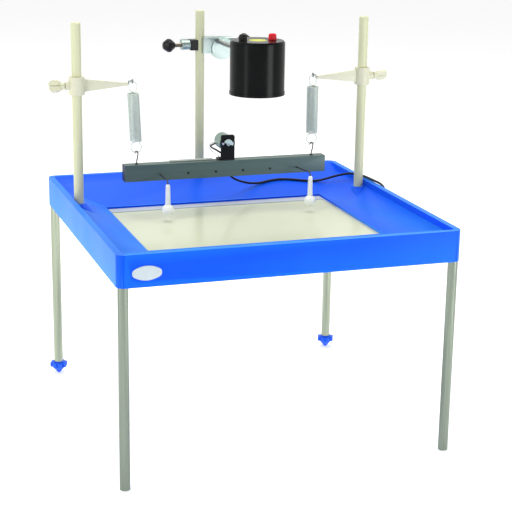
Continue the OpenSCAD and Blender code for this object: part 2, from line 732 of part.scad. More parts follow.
module bracket_screws() {
  color([0.70, 0.71, 0.73]) {
    for (x = bracket_screw_x) translate([x, bracket_screw_y, beam_top - beam_wall - 3]) {
      cylinder(d = bracket_screw_d, h = bracket_t + beam_wall + 3);
      translate([0, 0, beam_wall + 3 + bracket_t]) cylinder(d = 5.6, h = 1.8);
      translate([0, 0, 0]) cylinder(d = 5.5, h = 2, $fn = 32);
    }
    for (s = [-1, 1]) {
      along_y([motor_x + s * face_screw_x, bracket_y, motor_z], face_screw_head, face_screw_sink);
      along_y([motor_x + s * face_screw_x, bracket_y, motor_z], face_screw_d, bracket_t + face_screw_bite);
    }
  }
}

module motor() {
  color([0.58, 0.64, 0.62]) difference() {
    union() {
      along_y([motor_x, motor_y, motor_z], motor_d, motor_l);
      along_y([motor_x, motor_y - motor_nose_l, motor_z], motor_nose_d, motor_nose_l + 1);
      along_y([motor_x, motor_y + motor_l, motor_z], 8, 2);
      for (s = [-1, 1])
        translate([motor_x + s * 8 - 1.5, motor_y + motor_l - 1, motor_z - 4]) cube([3, 6, 0.8]);
    }
    along_y([motor_x, motor_y - motor_nose_l - overrun, motor_z], shaft_d + 2 * fit, motor_l);
    for (s = [-1, 1])
      along_y([motor_x + s * face_screw_x, motor_y - overrun, motor_z], face_screw_d + 2 * fit,
              face_screw_bite + gap + overrun);
  }
}

weight_y = bracket_y - weight_gap - weight_t;
module motor_shaft() {
  color([0.80, 0.80, 0.82])
    along_y([motor_x, weight_y - 1, motor_z], shaft_d, motor_y - weight_y + motor_l - 8);
}

weight_turn = -20;
module weight() {
  color([0.78, 0.82, 0.80]) difference() {
    translate([motor_x, weight_y, motor_z]) rotate([0, -weight_turn, 0]) union() {
      difference() {
        along_y([0, 0, 0], 2 * weight_r, weight_t);
        translate([-weight_r - 1, -1, -weight_r - 1]) cube([2 * weight_r + 2, weight_t + 2, weight_r + 1]);
      }
      along_y([0, 0, 0], 6, weight_t);
    }
    along_y([motor_x, weight_y - overrun, motor_z], shaft_d, weight_t + 2 * overrun);
  }
}

// Two leads run from the tabs behind the motor round its left side and down to the foot
// of the bracket.  Points are from the axis and from the rear of the motor.
black_lead_d = 3;
white_lead_d = 1.6;
black_lead = [
  [-8, -2, -5.7], [-8, 1, -6], [-11, 3, -7.5], [-16, 1, -9], [-20, -4, -9.5], [-18.5, -8, -12],
  [-12, -10, -15.5], [-6, -13, -19.5], [-4, -17, -20.5], [-2.5, -21.5, -21], [-2, -25, -22.3],
  [-2, -26, -23.5], [-2, -26, -25]];
white_lead = [
  [8, -2, -5], [8, 1.5, -5.2], [5, 5, -5.6], [-3, 6.5, -5.6], [-12, 6.5, -5.6], [-18, 2.5, -7],
  [-23.5, -4, -10], [-22, -8, -14], [-18, -10.5, -18], [-15, -14, -20.5], [-13.5, -19, -21.5],
  [-12.5, -24, -21.8], [-12.5, -26.5, -23], [-12.5, -26.5, -25]];
module motor_leads() {
  translate([motor_x, motor_y + motor_l + 4, motor_z]) {
    color([0.06, 0.06, 0.06]) tube(black_lead, black_lead_d / 2, 8, [1, 0, 0]);
    color([0.90, 0.90, 0.90]) tube(white_lead, white_lead_d / 2, 6, [1, 0, 0]);
  }
}

// ---------------------------------------------------------------- dippers
washer_d = 6;          // keeps a wire in the beam
knuckle_d = wire_d + 0.1;
module wire(x, splay) {
  color([0.72, 0.74, 0.75]) {
    along_y([x, beam_front + beam_wall + gap, hole_z], washer_d, 1.5);
    along_y([x, beam_front - 1, hole_z], wire_d, beam_wall + 6);
    translate([x, beam_front - 1, hole_z]) rotate([0, 0, splay]) {
      sphere(d = knuckle_d, $fn = 32);
      along_y([0, -dipper_reach + wire_bend + 1, 0], wire_d, dipper_reach - wire_bend - 1);
      // the bend is one straight piece at 45 degrees
      for (q = [[-dipper_reach + wire_bend + 1, 0], [-dipper_reach + 1, -wire_bend]])
        translate([0, q[0], q[1]]) sphere(d = knuckle_d, $fn = 32);
      translate([0, -dipper_reach + 1, -wire_bend]) rotate([-45, 0, 0])
        cylinder(d = wire_d, h = wire_bend * sqrt(2));
      translate([0, -dipper_reach + 1, -wire_bend - 12]) cylinder(d = wire_d, h = 12);
    }
  }
}

stem_len = 38;
module dipper(x, splay) {
  top = -6;            // top of the stem below the wire
  low = -dipper_drop;
  color([0.96, 0.96, 0.94]) translate([x, beam_front - 1, hole_z]) rotate([0, 0, splay])
    translate([0, -dipper_reach + 1, 0]) difference() {
      union() {
        translate([0, 0, low]) sphere(d = ball_d);
        translate([0, 0, low]) cylinder(d1 = stem_low_d, d2 = stem_top_d + 1, h = top - 3 - low);
        translate([0, 0, top - 3]) cylinder(d1 = stem_top_d + 1, d2 = stem_top_d - 2, h = 3);
      }
      translate([0, 0, top - 10 - gap]) cylinder(d = wire_d, h = 10 + gap + overrun);
    }
}
module left_wire() { wire(left_hole, 0); }
module right_wire() { wire(right_hole, right_splay); }
module left_dipper() { dipper(left_hole, 0); }
module right_dipper() { dipper(right_hole, right_splay); }

// ---------------------------------------------------------------- clamp head
head_h = rod_d * 7 / 4;
block_x = rod_d / 2 - 5;
block_w = rod_d + 8;
block_d = rod_d + 8;
block_y = back_rod_y - block_d / 2 - 1;
sleeve_l = rod_d - 2;
sleeve_d = rod_d + 1;
pad_room = 11;          // from the sleeve to the rod
sleeve_x = -rod_d / 2 - sleeve_l - pad_room;
lobe_r = lamp_rod_d * 2 + 3.5;
lobe_x = lamp_x + 7.5;
jaw_drop = 12.5;        // from the lamp rod to the middle of the second jaw
lobe_z = lamp_rod_z - jaw_drop;
lobe_t = block_d - 2;
web_t = 7;
web_h = head_h - 10;
web_l = block_x - sleeve_x + 4;
jaw_y = back_rod_y - 4; // middle of the lamp clamp screw
jaw_d = clamp_screw_d * 2;
web_y = back_rod_y + rod_d / 2 + 1;

module clamp_head() {
  color([0.70, 0.75, 0.74]) difference() {
    union() {
      // block that lies against the right side of the rod
      translate([block_x, block_y, head_z - head_h / 2]) cube([block_w, block_d, head_h]);
      along_y([block_x + block_w, block_y, head_z], head_h, block_d);
      // web behind the rod and the sleeve of the screw
      translate([sleeve_x + 4, web_y, head_z - web_h / 2]) cube([web_l, web_t, web_h]);
      along_x([sleeve_x, back_rod_y, head_z], sleeve_d, sleeve_l);
      translate([sleeve_x + 1, back_rod_y, head_z - sleeve_d / 2])
        cube([sleeve_l - 2, web_y - back_rod_y + web_t, sleeve_d]);
      // second jaw, which holds the lamp rod
      along_y([lobe_x, jaw_y - lobe_t / 2, lobe_z], 2 * lobe_r, lobe_t);
      along_x([lobe_x, jaw_y, lamp_rod_z], jaw_d, lobe_r + 2);
    }
    translate([0, back_rod_y, head_z - head_h]) cylinder(d = rod_d + 2 * fit, h = 2 * head_h);
    along_y([lamp_x, jaw_y - lobe_t, lamp_rod_z], lamp_rod_d + 2 * fit, 2 * lobe_t);
    along_x([sleeve_x - overrun, back_rod_y, head_z], clamp_screw_d + 2 * fit, sleeve_l + 2 * overrun);
    along_x([lamp_x, jaw_y, lamp_rod_z], clamp_screw_d + 2 * fit, 2 * lobe_r);
  }
}

pad_x = sleeve_x + sleeve_l + 1;
pad_w = rod_d - 2;
pad_h = rod_d + 2;
pad_pocket = 3;
module clamp_pad() {
  color([0.16, 0.17, 0.17]) difference() {
    translate([pad_x, back_rod_y - pad_w / 2, head_z - pad_h / 2]) cube([-pad_x - 4, pad_w, pad_h]);
    translate([0, back_rod_y, head_z - head_h]) cylinder(d = rod_d + 2 * gap, h = 2 * head_h);
    along_x([pad_x - overrun, back_rod_y, head_z], clamp_screw_d + 2 * fit, pad_pocket + overrun);
  }
}

// knob whose outline is two blunt cones, on a threaded stem
knob_cone_h = 9;
knob_rim_h = 4;
knob_root_d = 9;
knob_end_d = 11;
module knob_screw(stem) {
  color([0.10, 0.10, 0.10]) rotate([0, -90, 0]) {
    cylinder(d1 = knob_root_d, d2 = knob_d, h = knob_cone_h);
    translate([0, 0, knob_cone_h]) cylinder(d = knob_d, h = knob_rim_h);
    translate([0, 0, knob_cone_h + knob_rim_h]) cylinder(d1 = knob_d, d2 = knob_end_d, h = knob_cone_h);
    translate([0, 0, -stem]) cylinder(d = clamp_screw_d, h = stem + 1);
  }
}
knob_gap = 12;         // bare screw between a knob and its sleeve
module rod_clamp_screw() {
  start = sleeve_x - knob_gap;
  translate([start, back_rod_y, head_z]) knob_screw(pad_x + pad_pocket - gap - start);
}
module lamp_clamp_screw() {
  start = lobe_x + lobe_r + knob_gap;
  translate([start, jaw_y, lamp_rod_z]) mirror([1, 0, 0])
    knob_screw(start - lamp_x - lamp_rod_d / 2 - gap);
}

// ---------------------------------------------------------------- lamp
rod_neck_d = lamp_rod_d - 3;
rod_neck_l = 6;         // thinner end of the lamp rod inside the housing
rod_nut_d = lamp_rod_d * 1.5;
rod_nut_t = lamp_rod_d / 2;
module lamp_rod() {
  color([0.74, 0.76, 0.77]) {
    along_y([lamp_x, lamp_rod_y + lamp_wall + fit, lamp_rod_z], lamp_rod_d, lamp_rod_l);
    along_y([lamp_x, lamp_rod_y - rod_neck_l, lamp_rod_z], rod_neck_d, rod_neck_l + lamp_wall + 1);
    along_y([lamp_x, lamp_rod_y - rod_nut_t - 1, lamp_rod_z], rod_nut_d, rod_nut_t);
  }
}

module lamp_housing() {
  tube_h = lamp_h - cap_t;
  color([0.05, 0.06, 0.06]) difference() {
    translate([lamp_x, lamp_y, lamp_z]) {
      cylinder(d = lamp_d, h = tube_h, $fn = 128);
      cylinder(d = lamp_d + 1.6, h = 5, $fn = 128);
    }
    translate([lamp_x, lamp_y, lamp_z - overrun])
      cylinder(d = lamp_d - 2 * lamp_wall, h = tube_h + 2 * overrun, $fn = 128);
    along_y([lamp_x, lamp_y, lamp_rod_z], rod_neck_d + 2 * fit, lamp_d);
  }
}

module lamp_cap() {
  color([0.05, 0.06, 0.06]) difference() {
    translate([lamp_x, lamp_y, lamp_top - cap_t]) {
      cylinder(d = lamp_d, h = 2, $fn = 128);
      translate([0, 0, 2]) cylinder(d1 = lamp_d, d2 = lamp_d - 5, h = cap_t - 2, $fn = 128);
      translate([0, 0, -4]) cylinder(d = lamp_d - 2 * lamp_wall - 2 * fit, h = 4, $fn = 128);
    }
    for (x = terminal_x)
      translate([x, lamp_y, lamp_top - cap_t - 6]) cylinder(d = 6 + 2 * fit, h = cap_t + 8);
    translate([lamp_x, lamp_y, lamp_top - label_sink]) cylinder(d = label_d + 2 * gap, h = 2, $fn = 96);
    translate([lamp_x, lamp_y, lamp_top - cap_t - 5]) cylinder(d = 12 + 2 * fit, h = 4);
  }
}

label_d = 29;
label_sink = 0.5;
terminal_x = [lamp_x - 25, lamp_x + 25];

module lamp_label() {
  color([0.95, 0.85, 0.15]) translate([lamp_x, lamp_y, lamp_top - label_sink])
    cylinder(d = label_d, h = label_sink - 0.1, $fn = 96);
}

module lamp_base() {
  color([0.10, 0.11, 0.11]) difference() {
    translate([lamp_x, lamp_y, lamp_z])
      cylinder(d = lamp_d - 2 * lamp_wall - 2 * fit, h = base_t, $fn = 128);
    translate([lamp_x, lamp_y, lamp_z - overrun]) cylinder(d = 34, h = base_t + 2 * overrun, $fn = 96);
    translate([lamp_x, lamp_y, lamp_z + base_t - 2]) cylinder(d = 40 + 2 * fit, h = 4, $fn = 96);
  }
}
module lamp_glass() {
  color([0.90, 0.93, 0.92, 0.4]) translate([lamp_x, lamp_y, lamp_z + base_t - 2])
    cylinder(d = 40, h = 2, $fn = 96);
}

holder_l = 28;
module bulb_holder() {
  top = lamp_top - cap_t - 1;
  color([0.86, 0.86, 0.84]) translate([lamp_x, lamp_y, top - holder_l]) {
    cylinder(d = 22, h = holder_l - 6);
    translate([0, 0, holder_l - 6]) cylinder(d = 12, h = 6);
  }
}
module bulb() {
  top = lamp_top - cap_t - 1 - holder_l;
  color([0.95, 0.93, 0.85, 0.5]) translate([lamp_x, lamp_y, top]) {
    translate([0, 0, -8]) cylinder(d = 13.5, h = 8);
    translate([0, 0, -18]) sphere(d = 24);
  }
}

module terminal_posts() {
  color([0.75, 0.72, 0.55]) for (x = terminal_x) translate([x, lamp_y, lamp_top - cap_t - 8])
    difference() {
      union() {
        cylinder(d = 6, h = cap_t + 8 + 8.6);
        cylinder(d = 10, h = 4);
      }
      translate([0, 0, 4]) cylinder(d = terminal_bore, h = 40);
    }
}

grips = 10;
module terminal_cap(x) {
  translate([x, lamp_y, lamp_top + 0.4]) difference() {
    union() {
      cylinder(d = terminal_d, h = 2);
      translate([0, 0, 2]) cylinder(d = terminal_d - 2, h = 6);
      translate([0, 0, 8]) cylinder(d1 = terminal_d - 2, d2 = terminal_d - 4, h = 1.5);
      for (k = [0 : grips - 1]) rotate(360 * k / grips)
        translate([terminal_d / 2 - 1.2, 0, 2]) cylinder(d = 1.8, h = 5.5, $fn = 24);
    }
    translate([0, 0, -overrun]) cylinder(d = 6 + 2 * fit, h = 8.6 + overrun);
    cylinder(d = terminal_bore + 0.4, h = 20);
  }
}
module black_terminal() { color([0.05, 0.05, 0.05]) terminal_cap(terminal_x[0]); }
module red_terminal() { color([0.90, 0.10, 0.12]) terminal_cap(terminal_x[1]); }

// ---------------------------------------------------------------- lead
gland_x = 12;
gland_z = 392;
gland_d = 7;
gland_l = 10;
module cord_gland() {
  color([0.05, 0.05, 0.05]) {
    along_y([gland_x, beam_back - beam_wall - 1, gland_z], gland_d - 2 * fit, beam_wall + 1);
    translate([gland_x, beam_back, gland_z]) rotate([-90, 0, 0])
      cylinder(d1 = gland_d + 2, d2 = cord_d + 1, h = gland_l);
  }
}

// The lead leaves the gland behind the beam, drops onto the rear slope of the basin,
// lies there, climbs over the right-hand rim behind the rod and hangs down outside it.
lead_route = [
  [12, 118, 392], [12, 122, 392], [14, 130, 389], [20, 138, 382], [29, 147, 373], [42, 158, 364],
  [58, 170, 356.5], [77, 182, 350], [98, 192, 347.2], [119, 199, 348.6], [141, 202, 349.4],
  [164, 198, 348.2], [186, 191, 346.4], [206, 188, 346], [222, 184, 349.5], [234, 175, 355],
  [245, 161, 361], [254, 146, 365.4], [262, 130, 366.6], [267, 113, 366.6], [269, 95, 366.5],
  [270, 77, 366.5], [272, 60, 366], [275, 48, 362], [275.6, 42, 354], [275.2, 40, 344],
  [274.4, 40, 332]];

function spline(p, i, t) =
  let (a = p[max(i - 1, 0)], b = p[i], c = p[i + 1], d = p[min(i + 2, len(p) - 1)])
  0.5 * (2 * b + (c - a) * t + (2 * a - 5 * b + 4 * c - d) * t * t + (3 * b - a - 3 * c + d) * t * t * t);
lead_last = len(lead_route) - 1;
// the ends are straight, so that they meet the gland and the coil face to face
lead_path = concat(
  [lead_route[0], lead_route[0] + [0, 1.5, 0]],
  [for (i = [1 : lead_last - 1], k = [0 : 1]) spline(lead_route, i, k / 2)],
  [lead_route[lead_last] + [0, 0, 1.5], lead_route[lead_last]]);

// Coil: half of the turns spiral inwards against the wall, the other half spiral
// outwards in a second layer.
coil_pitch = cord_d + 0.5;
coil_x = 274.4;        // middle of the layer at the wall
hang_y = 40;           // where the lead hangs down
half_turns = coil_turns / 2;
coil_outer = coil_r + half_turns * coil_pitch / 2;
coil_y = hang_y - coil_outer;
coil_z = 320;
coil_points = 24;
function coil_point(turn) =
  let (a = -360 * turn, layer = turn < half_turns ? 0 : 1,
       climb = min(1, max(0, (turn - half_turns + 0.25) / 0.5)),
       from_end = turn < half_turns ? turn : coil_turns - turn,
       r = coil_outer - from_end * coil_pitch)
  [coil_x + climb * coil_pitch, coil_y + r * cos(a), coil_z + r * sin(a)];
coil_end = 12;          // straight part at each end of the coil
coil_path = concat(
  [for (k = [3 : -1 : 1]) [coil_x, hang_y, coil_z + coil_end * k / 3]],
  [for (k = [0 : coil_turns * coil_points]) coil_point(k / coil_points)],
  [for (k = [1 : 3]) [coil_x + coil_pitch, hang_y, coil_z - coil_end * k / 3]]);
echo(coil_gap_mm = least_gap(coil_path, cord_d, 8));

function path_len(p) = len(p) < 2 ? 0 : [for (i = 0, s = 0; i < len(p);
  i = i + 1, s = i < len(p) ? s + norm(p[i] - p[i - 1]) : s) s][len(p) - 1];
echo(lead_length_mm = path_len(lead_path), coil_length_mm = path_len(coil_path));

module lead() { color([0.05, 0.05, 0.06]) tube(lead_path, cord_d / 2, 8, [1, 0, 0]); }
module lead_coil() { color([0.05, 0.05, 0.06]) tube(coil_path, cord_d / 2, 6, [1, 0, 0]); }

tie_t = 1;
tie_h = 10;
module coil_tie() {
  // the innermost turn bows away from the middle of the tie
  inner = coil_outer - (half_turns - 0.5) * coil_pitch - cord_d / 2;
  r_in = sqrt(inner ^ 2 - (tie_h / 2) ^ 2) - 2 * gap;
  r_out = coil_outer - 0.5 * coil_pitch + cord_d / 2 + gap;
  x_in = coil_x - cord_d / 2 - gap;
  w = coil_pitch + cord_d + 2 * gap;
  color([0.08, 0.08, 0.09]) translate([x_in, coil_y - r_out, coil_z - tie_h / 2]) difference() {
    translate([-tie_t, -tie_t, 0]) cube([w + 2 * tie_t, r_out - r_in + 2 * tie_t, tie_h]);
    translate([0, 0, -overrun]) cube([w, r_out - r_in, tie_h + 2 * overrun]);
  }
}

lead_plug_l = 22;
barrel_l = 9.5;
relief_l = 14;
module lead_plug() {
  color([0.06, 0.06, 0.06]) translate([coil_x + coil_pitch, hang_y, coil_z - coil_end]) mirror([0, 0, 1]) {
    cylinder(d1 = cord_d + 1, d2 = 8, h = relief_l);
    translate([0, 0, relief_l]) cylinder(d = 10, h = lead_plug_l);
    difference() {
      translate([0, 0, relief_l + lead_plug_l]) cylinder(d = 5.5, h = barrel_l);
      translate([0, 0, relief_l + lead_plug_l + 1]) cylinder(d = 2.1, h = barrel_l);
    }
  }
}

// ---------------------------------------------------------------- assembly
tray();
glass_pane();
pane_seal();
pane_frame();
frame_screws();
badge_plate();
front_left_leg();
front_right_leg();
rear_left_leg();
rear_right_leg();
leg_plugs();
foot_inserts();
left_foot();
right_foot();
left_rod();
right_rod();
back_rod();
left_arm();
right_arm();
left_arm_eye();
right_arm_eye();
left_wing_screw();
right_wing_screw();
left_spring();
right_spring();
beam();
beam_ends();
beam_eyes();
cable_strip();
motor_bracket();
bracket_screws();
motor();
motor_leads();
motor_shaft();
weight();
left_wire();
right_wire();
left_dipper();
right_dipper();
clamp_head();
clamp_pad();
rod_clamp_screw();
lamp_clamp_screw();
lamp_rod();
lamp_housing();
lamp_cap();
lamp_label();
lamp_base();
lamp_glass();
bulb_holder();
bulb();
terminal_posts();
black_terminal();
red_terminal();
cord_gland();
lead();
lead_coil();
coil_tie();
lead_plug();
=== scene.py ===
import json
import math
import bmesh
import bpy
from mathutils import Matrix, Vector

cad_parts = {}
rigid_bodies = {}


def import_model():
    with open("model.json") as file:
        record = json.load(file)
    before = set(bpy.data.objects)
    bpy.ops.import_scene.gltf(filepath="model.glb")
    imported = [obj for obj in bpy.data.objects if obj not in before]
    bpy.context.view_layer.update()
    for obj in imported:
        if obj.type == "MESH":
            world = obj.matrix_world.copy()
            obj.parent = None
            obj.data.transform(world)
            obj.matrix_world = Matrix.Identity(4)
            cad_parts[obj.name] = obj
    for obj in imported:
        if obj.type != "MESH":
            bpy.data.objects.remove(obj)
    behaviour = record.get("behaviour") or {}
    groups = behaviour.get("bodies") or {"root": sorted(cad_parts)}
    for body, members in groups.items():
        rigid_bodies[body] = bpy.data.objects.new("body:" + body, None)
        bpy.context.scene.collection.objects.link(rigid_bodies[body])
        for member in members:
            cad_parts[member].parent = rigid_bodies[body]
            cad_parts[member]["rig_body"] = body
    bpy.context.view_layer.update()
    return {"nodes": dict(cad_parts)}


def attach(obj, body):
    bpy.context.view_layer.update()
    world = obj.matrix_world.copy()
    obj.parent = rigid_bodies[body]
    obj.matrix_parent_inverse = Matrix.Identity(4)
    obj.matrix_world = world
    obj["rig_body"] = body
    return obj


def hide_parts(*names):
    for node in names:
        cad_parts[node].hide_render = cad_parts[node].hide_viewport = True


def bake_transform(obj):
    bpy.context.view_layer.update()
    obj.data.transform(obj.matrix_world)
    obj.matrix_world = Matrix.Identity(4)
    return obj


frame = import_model()
nodes = frame["nodes"]
MM = 0.001
X, Y, Z = Vector((1, 0, 0)), Vector((0, 1, 0)), Vector((0, 0, 1))

# ---------------------------------------------------------------- camera
# Fitted to the photograph: place in millimetres, angles in radians, focal length in pixels.
CAMERA_AT = Vector((-693.93, -2131.05, 903.48)) * MM
YAW, PITCH, ROLL, FOCAL = 0.3266, 0.2751, 0.0153, 1402.758


def add_camera():
    forward = Vector((math.sin(YAW) * math.cos(PITCH), math.cos(YAW) * math.cos(PITCH),
                      -math.sin(PITCH)))
    side = Vector((math.cos(YAW), -math.sin(YAW), 0))
    up = side.cross(forward)
    right = side * math.cos(ROLL) + up * math.sin(ROLL)
    top = up * math.cos(ROLL) - side * math.sin(ROLL)
    cam = bpy.data.objects.new("camera", bpy.data.cameras.new("camera"))
    cam.data.sensor_width = 36.0
    cam.data.lens = FOCAL / 512 * 36.0
    cam.data.clip_end = 60.0
    m = Matrix((right, top, -forward)).transposed().to_4x4()
    m.translation = CAMERA_AT
    cam.matrix_world = m
    bpy.context.scene.collection.objects.link(cam)
    bpy.context.scene.camera = cam


add_camera()


# ---------------------------------------------------------------- materials
def surface(name, colour, rough, metal=0.0, tone=0.06, tone_scale=25.0, grain=0.15, grain_scale=700.0,
            rough_var=0.06, stretch=(1, 1, 1), specular=0.5, edge_wear_and_highlight=None, sheen=None, alpha=None):
    """Principled surface with soft changes of tone, uneven gloss and a fine grain."""
    mat = bpy.data.materials.new(name)
    mat.use_nodes = True
    tree = mat.node_tree
    bsdf = tree.nodes["Principled BSDF"]
    link = tree.links.new

    def add(kind, **values):
        node = tree.nodes.new(kind)
        for key, value in values.items():
            if key in node.inputs:
                node.inputs[key].default_value = value
            else:
                setattr(node, key, value)
        return node

    coord = add("ShaderNodeTexCoord")
    mapping = add("ShaderNodeMapping", Scale=stretch)
    link(coord.outputs["Object"], mapping.inputs["Vector"])
    cloud = add("ShaderNodeTexNoise", Scale=tone_scale, Detail=4.0, Roughness=0.6)
    fine = add("ShaderNodeTexNoise", Scale=grain_scale, Detail=2.0, Roughness=0.5)
    for noise in (cloud, fine):
        link(mapping.outputs["Vector"], noise.inputs["Vector"])
    mix = add("ShaderNodeMix", data_type="RGBA")
    low = [max(0.0, c * (1 - tone)) for c in colour[:3]] + [1.0]
    high = [min(1.0, c * (1 + tone) + 0.02 * tone) for c in colour[:3]] + [1.0]
    mix.inputs[6].default_value = low
    mix.inputs[7].default_value = high
    spread = add("ShaderNodeMapRange")
    spread.inputs["From Min"].default_value = 0.3
    spread.inputs["From Max"].default_value = 0.7
    link(cloud.outputs["Fac"], spread.inputs["Value"])
    link(spread.outputs["Result"], mix.inputs[0])
    out = mix.outputs[2]
    # edges are lifted towards a second colour by pointiness: wear on most materials, a painted highlight on
    # the basin's rounded rim
    if edge_wear_and_highlight:
        geo = add("ShaderNodeNewGeometry")
        edge = add("ShaderNodeMapRange")
        edge.inputs["From Min"].default_value = 0.52
        edge.inputs["From Max"].default_value = 0.62
        edge.inputs["To Max"].default_value = edge_wear_and_highlight[1]
        link(geo.outputs["Pointiness"], edge.inputs["Value"])
        wear_and_highlight = add("ShaderNodeMix", data_type="RGBA")
        link(edge.outputs["Result"], wear_and_highlight.inputs[0])
        link(out, wear_and_highlight.inputs[6])
        wear_and_highlight.inputs[7].default_value = list(edge_wear_and_highlight[0]) + [1.0]
        out = wear_and_highlight.outputs[2]
    link(out, bsdf.inputs["Base Color"])
    gloss = add("ShaderNodeMapRange")
    gloss.inputs["From Min"].default_value = 0.3
    gloss.inputs["From Max"].default_value = 0.7
    gloss.inputs["To Min"].default_value = max(0.02, rough - rough_var)
    gloss.inputs["To Max"].default_value = min(1.0, rough + rough_var)
    link(cloud.outputs["Fac"], gloss.inputs["Value"])
    link(gloss.outputs["Result"], bsdf.inputs["Roughness"])
    bump = add("ShaderNodeBump", Strength=grain, Distance=0.0002)
    link(fine.outputs["Fac"], bump.inputs["Height"])
    link(bump.outputs["Normal"], bsdf.inputs["Normal"])
    bsdf.inputs["Metallic"].default_value = metal
    bsdf.inputs["Specular IOR Level"].default_value = specular
    if sheen:
        bsdf.inputs["Sheen Weight"].default_value = sheen[1]
        bsdf.inputs["Sheen Roughness"].default_value = 0.35
        bsdf.inputs["Sheen Tint"].default_value = list(sheen[0]) + [1.0]
    if alpha is not None:
        bsdf.inputs["Alpha"].default_value = alpha
    return mat


def srgb(r, g, b):
    return tuple(((c / 255 + 0.055) / 1.055) ** 2.4 if c > 10 else c / 255 / 12.92 for c in (r, g, b))


# the basin's convex edges are tinted a lighter azure: a painted highlight on its rounded rim
BLUE = surface("basin_blue", (0.002, 0.076, 0.8), 0.34, tone=0.07, tone_scale=9, grain=0.1,
               grain_scale=420, rough_var=0.05, specular=0.08, edge_wear_and_highlight=(srgb(30, 140, 255), 0.3),
               sheen=((0.1, 0.75, 1.0), 0.6))
KNOB_BLUE = surface("knob_blue", (0.01, 0.12, 0.85), 0.32, specular=0.3, tone=0.08, tone_scale=60)
CREAM = surface("cream_plastic", srgb(208, 208, 180), 0.42, tone=0.035, tone_scale=18, grain=0.1,
                specular=0.4, edge_wear_and_highlight=(srgb(226, 226, 204), 0.4))
CREAM_ROD = surface("cream_rod", srgb(203, 206, 168), 0.36, tone=0.04, tone_scale=30, grain=0.2,
                    grain_scale=260, stretch=(1, 1, 0.06), specular=0.4)
# one brushed steel in two copies: the front legs darker as painted shade, the rear legs lighter as painted
# light
STEEL_FRONT_SHADED = surface("brushed_leg_painted_shade", (0.2, 0.235, 0.19), 0.17, metal=1.0, tone=0.14, tone_scale=420, grain=0.2,
                grain_scale=900, rough_var=0.05, stretch=(1, 1, 0.015), specular=0.4)
STEEL_REAR_LIT = surface("brushed_rear_leg_painted_light", (0.33, 0.37, 0.28), 0.17, metal=1.0, tone=0.14, tone_scale=420,
                     grain=0.2, grain_scale=900, rough_var=0.05, stretch=(1, 1, 0.015), specular=0.4)
BRIGHT = surface("bright_wire", srgb(140, 146, 140), 0.26, metal=1.0, tone=0.08, tone_scale=160)
HOOK = surface("hook_wire", srgb(84, 84, 80), 0.4, metal=0.8, tone=0.12, tone_scale=200)
SPRING = surface("spring_wire", srgb(208, 219, 208), 0.4, metal=0.25, tone=0.08, tone_scale=200)
ROD_STEEL = surface("polished_rod", srgb(160, 164, 158), 0.24, metal=1.0, tone=0.08, tone_scale=300,
                    stretch=(1, 0.03, 1))
STEM = surface("knob_stem", srgb(128, 120, 102), 0.34, metal=0.9, tone=0.12, tone_scale=240)
BEAM = surface("beam_dark", srgb(76, 98, 90), 0.44, metal=0.5, tone=0.1, tone_scale=160, grain=0.2,
               grain_scale=500, stretch=(0.04, 1, 1), edge_wear_and_highlight=(srgb(120, 134, 130), 0.4))
STRIP = surface("strip_grey", srgb(150, 158, 152), 0.5)
BLACK = surface("black_moulding", srgb(16, 17, 16), 0.4, tone=0.15, specular=0.25,
                edge_wear_and_highlight=(srgb(60, 62, 60), 0.4))
BLACK_METAL = surface("black_sheet", (0.003, 0.0042, 0.0036), 0.42, tone=0.15, grain=0.3, grain_scale=500,
                      specular=0.12, edge_wear_and_highlight=(srgb(50, 54, 52), 0.3))
LAMP_BLACK = surface("lamp_black", (0.001, 0.002, 0.0018), 0.25, tone=0.2, tone_scale=12, grain=0.05,
                     grain_scale=350, specular=0.11, edge_wear_and_highlight=(srgb(30, 35, 33), 0.3))
CAN = surface("motor_can", srgb(132, 156, 142), 0.36, metal=0.7, tone=0.08, tone_scale=60, grain=0.1)
WEIGHT = surface("weight_grey", srgb(182, 200, 194), 0.36, metal=0.5, tone=0.06, tone_scale=80)
CAST = surface("clamp_cast", srgb(158, 178, 170), 0.38, metal=0.75, tone=0.12, tone_scale=70, grain=0.45,
               grain_scale=260, edge_wear_and_highlight=(srgb(212, 222, 218), 0.5))
WHITE = surface("white_plastic", srgb(246, 248, 240), 0.3, tone=0.02, specular=0.4)
LEAD_WHITE = surface("lead_white", srgb(222, 226, 218), 0.42, tone=0.05, tone_scale=200)
RED = surface("red_plastic", srgb(222, 24, 44), 0.32, tone=0.05, specular=0.3)
YELLOW = surface("label_yellow", srgb(198, 200, 66), 0.5, tone=0.12, tone_scale=120)
BADGE = surface("badge_silver", srgb(188, 200, 206), 0.32, metal=0.5, tone=0.05, tone_scale=90)
GREY = surface("frame_grey", srgb(196, 204, 200), 0.5, tone=0.04)
SEAL = surface("seal_pale", srgb(166, 174, 190), 0.55, tone=0.05)
SCREW = surface("screw_zinc", srgb(178, 180, 182), 0.3, metal=1.0, tone=0.1)
BRASS = surface("brass_post", srgb(196, 176, 112), 0.28, metal=1.0, tone=0.08)
CORD = surface("cord_black", srgb(18, 19, 21), 0.42, tone=0.12, tone_scale=90, grain=0.2,
               grain_scale=900, specular=0.3)
